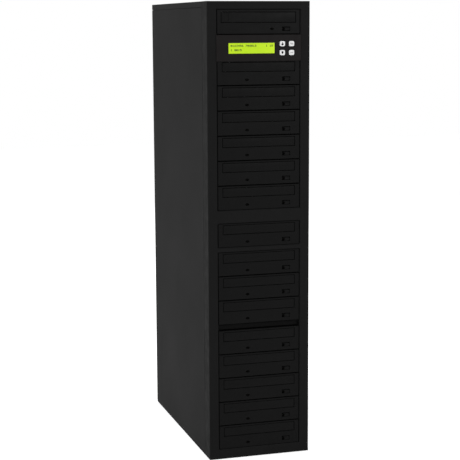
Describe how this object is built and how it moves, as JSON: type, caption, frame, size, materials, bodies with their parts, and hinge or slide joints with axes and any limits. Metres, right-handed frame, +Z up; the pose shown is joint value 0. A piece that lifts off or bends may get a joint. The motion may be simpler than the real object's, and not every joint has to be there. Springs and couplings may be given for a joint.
{
  "type": "cd dvd duplicator tower",
  "caption": "Tall black disc duplicator tower: stacked tray-loading optical drives in one case, with a small display and four keys near the top, fans and mains inlet behind.",
  "frame": {"origin": "on the floor under the middle of the case", "axes": "+Z up along the tower, +X to the right seen from the front, the front faces -Y"},
  "size_m": [0.184, 0.4007, 0.7996],
  "materials": {
    "bezel_plastic": "fine-grained black moulding",
    "case_paint": "black textured powder coat",
    "bare_steel": "zinc-plated sheet",
    "black_steel": "satin black paint",
    "drive_plastic": "satin black moulding",
    "panel_plastic": "satin black moulding",
    "display": "back-lit yellow-green display",
    "circuit_board": "solder mask",
    "inlet_plastic": "black moulding",
    "fan_plastic": "black moulding",
    "guard_wire": "bright-plated wire",
    "foot_rubber": "black rubber",
    "screw_metal": "nickel-plated, knurled",
    "key_plastic": "off-white caps"
  },
  "bodies": {
    "case": {"front_bezel": "bezel_plastic", "left_side_cover": "case_paint", "right_side_cover": "case_paint", "top_cover": "case_paint", "base_pan": "case_paint", "rear_panel": "case_paint", "drive_cage": "black_steel", "cross_member": "black_steel", "reader_faceplate": "drive_plastic", "writer_faceplates": "drive_plastic", "drive_housings": "bare_steel", "control_panel": "panel_plastic", "display_module": "display", "control_board": "circuit_board", "power_supply": "bare_steel", "power_inlet": "inlet_plastic", "fan_frames": "fan_plastic", "fan_guards": "guard_wire", "rubber_feet": "foot_rubber", "cover_thumbscrews": "screw_metal"},
    "tray_reader": {"tray_reader": "drive_plastic"},
    "tray_writer_01": {"tray_writer_01": "drive_plastic"},
    "tray_writer_02": {"tray_writer_02": "drive_plastic"},
    "tray_writer_03": {"tray_writer_03": "drive_plastic"},
    "tray_writer_04": {"tray_writer_04": "drive_plastic"},
    "tray_writer_05": {"tray_writer_05": "drive_plastic"},
    "tray_writer_06": {"tray_writer_06": "drive_plastic"},
    "tray_writer_07": {"tray_writer_07": "drive_plastic"},
    "tray_writer_08": {"tray_writer_08": "drive_plastic"},
    "tray_writer_09": {"tray_writer_09": "drive_plastic"},
    "tray_writer_10": {"tray_writer_10": "drive_plastic"},
    "tray_writer_11": {"tray_writer_11": "drive_plastic"},
    "tray_writer_12": {"tray_writer_12": "drive_plastic"},
    "tray_writer_13": {"tray_writer_13": "drive_plastic"},
    "tray_writer_14": {"tray_writer_14": "drive_plastic"},
    "tray_writer_15": {"tray_writer_15": "drive_plastic"},
    "eject_button_reader": {"eject_button_reader": "drive_plastic"},
    "eject_button_01": {"eject_button_01": "drive_plastic"},
    "eject_button_02": {"eject_button_02": "drive_plastic"},
    "eject_button_03": {"eject_button_03": "drive_plastic"},
    "eject_button_04": {"eject_button_04": "drive_plastic"},
    "eject_button_05": {"eject_button_05": "drive_plastic"},
    "eject_button_06": {"eject_button_06": "drive_plastic"},
    "eject_button_07": {"eject_button_07": "drive_plastic"},
    "eject_button_08": {"eject_button_08": "drive_plastic"},
    "eject_button_09": {"eject_button_09": "drive_plastic"},
    "eject_button_10": {"eject_button_10": "drive_plastic"},
    "eject_button_11": {"eject_button_11": "drive_plastic"},
    "eject_button_12": {"eject_button_12": "drive_plastic"},
    "eject_button_13": {"eject_button_13": "drive_plastic"},
    "eject_button_14": {"eject_button_14": "drive_plastic"},
    "eject_button_15": {"eject_button_15": "drive_plastic"},
    "key_up": {"key_up": "key_plastic"},
    "key_confirm": {"key_confirm": "key_plastic"},
    "key_down": {"key_down": "key_plastic"},
    "key_cancel": {"key_cancel": "key_plastic"},
    "mains_rocker": {"mains_rocker": "inlet_plastic"},
    "case_fan_rotor_lower": {"case_fan_rotor_lower": "fan_plastic"},
    "case_fan_rotor_upper": {"case_fan_rotor_upper": "fan_plastic"},
    "psu_fan_rotor": {"psu_fan_rotor": "fan_plastic"}
  },
  "joints": [
    {"name": "reader_tray_slide", "type": "slide", "parent": "case", "child": "tray_reader", "axis": [0, -1, 0], "range_m": [0, 0.138]},
    {"name": "writer_01_tray_slide", "type": "slide", "parent": "case", "child": "tray_writer_01", "axis": [0, -1, 0], "range_m": [0, 0.138]},
    {"name": "writer_02_tray_slide", "type": "slide", "parent": "case", "child": "tray_writer_02", "axis": [0, -1, 0], "range_m": [0, 0.138]},
    {"name": "writer_03_tray_slide", "type": "slide", "parent": "case", "child": "tray_writer_03", "axis": [0, -1, 0], "range_m": [0, 0.138]},
    {"name": "writer_04_tray_slide", "type": "slide", "parent": "case", "child": "tray_writer_04", "axis": [0, -1, 0], "range_m": [0, 0.138]},
    {"name": "writer_05_tray_slide", "type": "slide", "parent": "case", "child": "tray_writer_05", "axis": [0, -1, 0], "range_m": [0, 0.138]},
    {"name": "writer_06_tray_slide", "type": "slide", "parent": "case", "child": "tray_writer_06", "axis": [0, -1, 0], "range_m": [0, 0.138]},
    {"name": "writer_07_tray_slide", "type": "slide", "parent": "case", "child": "tray_writer_07", "axis": [0, -1, 0], "range_m": [0, 0.138]},
    {"name": "writer_08_tray_slide", "type": "slide", "parent": "case", "child": "tray_writer_08", "axis": [0, -1, 0], "range_m": [0, 0.138]},
    {"name": "writer_09_tray_slide", "type": "slide", "parent": "case", "child": "tray_writer_09", "axis": [0, -1, 0], "range_m": [0, 0.138]},
    {"name": "writer_10_tray_slide", "type": "slide", "parent": "case", "child": "tray_writer_10", "axis": [0, -1, 0], "range_m": [0, 0.138]},
    {"name": "writer_11_tray_slide", "type": "slide", "parent": "case", "child": "tray_writer_11", "axis": [0, -1, 0], "range_m": [0, 0.138]},
    {"name": "writer_12_tray_slide", "type": "slide", "parent": "case", "child": "tray_writer_12", "axis": [0, -1, 0], "range_m": [0, 0.138]},
    {"name": "writer_13_tray_slide", "type": "slide", "parent": "case", "child": "tray_writer_13", "axis": [0, -1, 0], "range_m": [0, 0.138]},
    {"name": "writer_14_tray_slide", "type": "slide", "parent": "case", "child": "tray_writer_14", "axis": [0, -1, 0], "range_m": [0, 0.138]},
    {"name": "writer_15_tray_slide", "type": "slide", "parent": "case", "child": "tray_writer_15", "axis": [0, -1, 0], "range_m": [0, 0.138]},
    {"name": "eject_button_reader_press", "type": "slide", "parent": "case", "child": "eject_button_reader", "axis": [0, 1, 0], "range_m": [0, 0.001], "stiffness_N_per_m": 400},
    {"name": "eject_button_01_press", "type": "slide", "parent": "case", "child": "eject_button_01", "axis": [0, 1, 0], "range_m": [0, 0.001], "stiffness_N_per_m": 400},
    {"name": "eject_button_02_press", "type": "slide", "parent": "case", "child": "eject_button_02", "axis": [0, 1, 0], "range_m": [0, 0.001], "stiffness_N_per_m": 400},
    {"name": "eject_button_03_press", "type": "slide", "parent": "case", "child": "eject_button_03", "axis": [0, 1, 0], "range_m": [0, 0.001], "stiffness_N_per_m": 400},
    {"name": "eject_button_04_press", "type": "slide", "parent": "case", "child": "eject_button_04", "axis": [0, 1, 0], "range_m": [0, 0.001], "stiffness_N_per_m": 400},
    {"name": "eject_button_05_press", "type": "slide", "parent": "case", "child": "eject_button_05", "axis": [0, 1, 0], "range_m": [0, 0.001], "stiffness_N_per_m": 400},
    {"name": "eject_button_06_press", "type": "slide", "parent": "case", "child": "eject_button_06", "axis": [0, 1, 0], "range_m": [0, 0.001], "stiffness_N_per_m": 400},
    {"name": "eject_button_07_press", "type": "slide", "parent": "case", "child": "eject_button_07", "axis": [0, 1, 0], "range_m": [0, 0.001], "stiffness_N_per_m": 400},
    {"name": "eject_button_08_press", "type": "slide", "parent": "case", "child": "eject_button_08", "axis": [0, 1, 0], "range_m": [0, 0.001], "stiffness_N_per_m": 400},
    {"name": "eject_button_09_press", "type": "slide", "parent": "case", "child": "eject_button_09", "axis": [0, 1, 0], "range_m": [0, 0.001], "stiffness_N_per_m": 400},
    {"name": "eject_button_10_press", "type": "slide", "parent": "case", "child": "eject_button_10", "axis": [0, 1, 0], "range_m": [0, 0.001], "stiffness_N_per_m": 400},
    {"name": "eject_button_11_press", "type": "slide", "parent": "case", "child": "eject_button_11", "axis": [0, 1, 0], "range_m": [0, 0.001], "stiffness_N_per_m": 400},
    {"name": "eject_button_12_press", "type": "slide", "parent": "case", "child": "eject_button_12", "axis": [0, 1, 0], "range_m": [0, 0.001], "stiffness_N_per_m": 400},
    {"name": "eject_button_13_press", "type": "slide", "parent": "case", "child": "eject_button_13", "axis": [0, 1, 0], "range_m": [0, 0.001], "stiffness_N_per_m": 400},
    {"name": "eject_button_14_press", "type": "slide", "parent": "case", "child": "eject_button_14", "axis": [0, 1, 0], "range_m": [0, 0.001], "stiffness_N_per_m": 400},
    {"name": "eject_button_15_press", "type": "slide", "parent": "case", "child": "eject_button_15", "axis": [0, 1, 0], "range_m": [0, 0.001], "stiffness_N_per_m": 400},
    {"name": "key_up_press", "type": "slide", "parent": "case", "child": "key_up", "axis": [0, 1, 0], "range_m": [0, 0.001], "stiffness_N_per_m": 400},
    {"name": "key_confirm_press", "type": "slide", "parent": "case", "child": "key_confirm", "axis": [0, 1, 0], "range_m": [0, 0.001], "stiffness_N_per_m": 400},
    {"name": "key_down_press", "type": "slide", "parent": "case", "child": "key_down", "axis": [0, 1, 0], "range_m": [0, 0.001], "stiffness_N_per_m": 400},
    {"name": "key_cancel_press", "type": "slide", "parent": "case", "child": "key_cancel", "axis": [0, 1, 0], "range_m": [0, 0.001], "stiffness_N_per_m": 400},
    {"name": "mains_rocker_tilt", "type": "hinge", "parent": "case", "child": "mains_rocker", "pos_m": [-0.052, 0.1931, 0.0622], "axis": [1, 0, 0], "range_deg": [0, 18]},
    {"name": "case_fan_rotor_lower_spin", "type": "hinge", "parent": "case", "child": "case_fan_rotor_lower", "pos_m": [0, 0.1941, 0.31], "axis": [0, 1, 0], "continuous": true},
    {"name": "case_fan_rotor_upper_spin", "type": "hinge", "parent": "case", "child": "case_fan_rotor_upper", "pos_m": [0, 0.1941, 0.56], "axis": [0, 1, 0], "continuous": true},
    {"name": "psu_fan_rotor_spin", "type": "hinge", "parent": "case", "child": "psu_fan_rotor", "pos_m": [0.028, 0.1931, 0.0492], "axis": [0, 1, 0], "continuous": true}
  ]
}
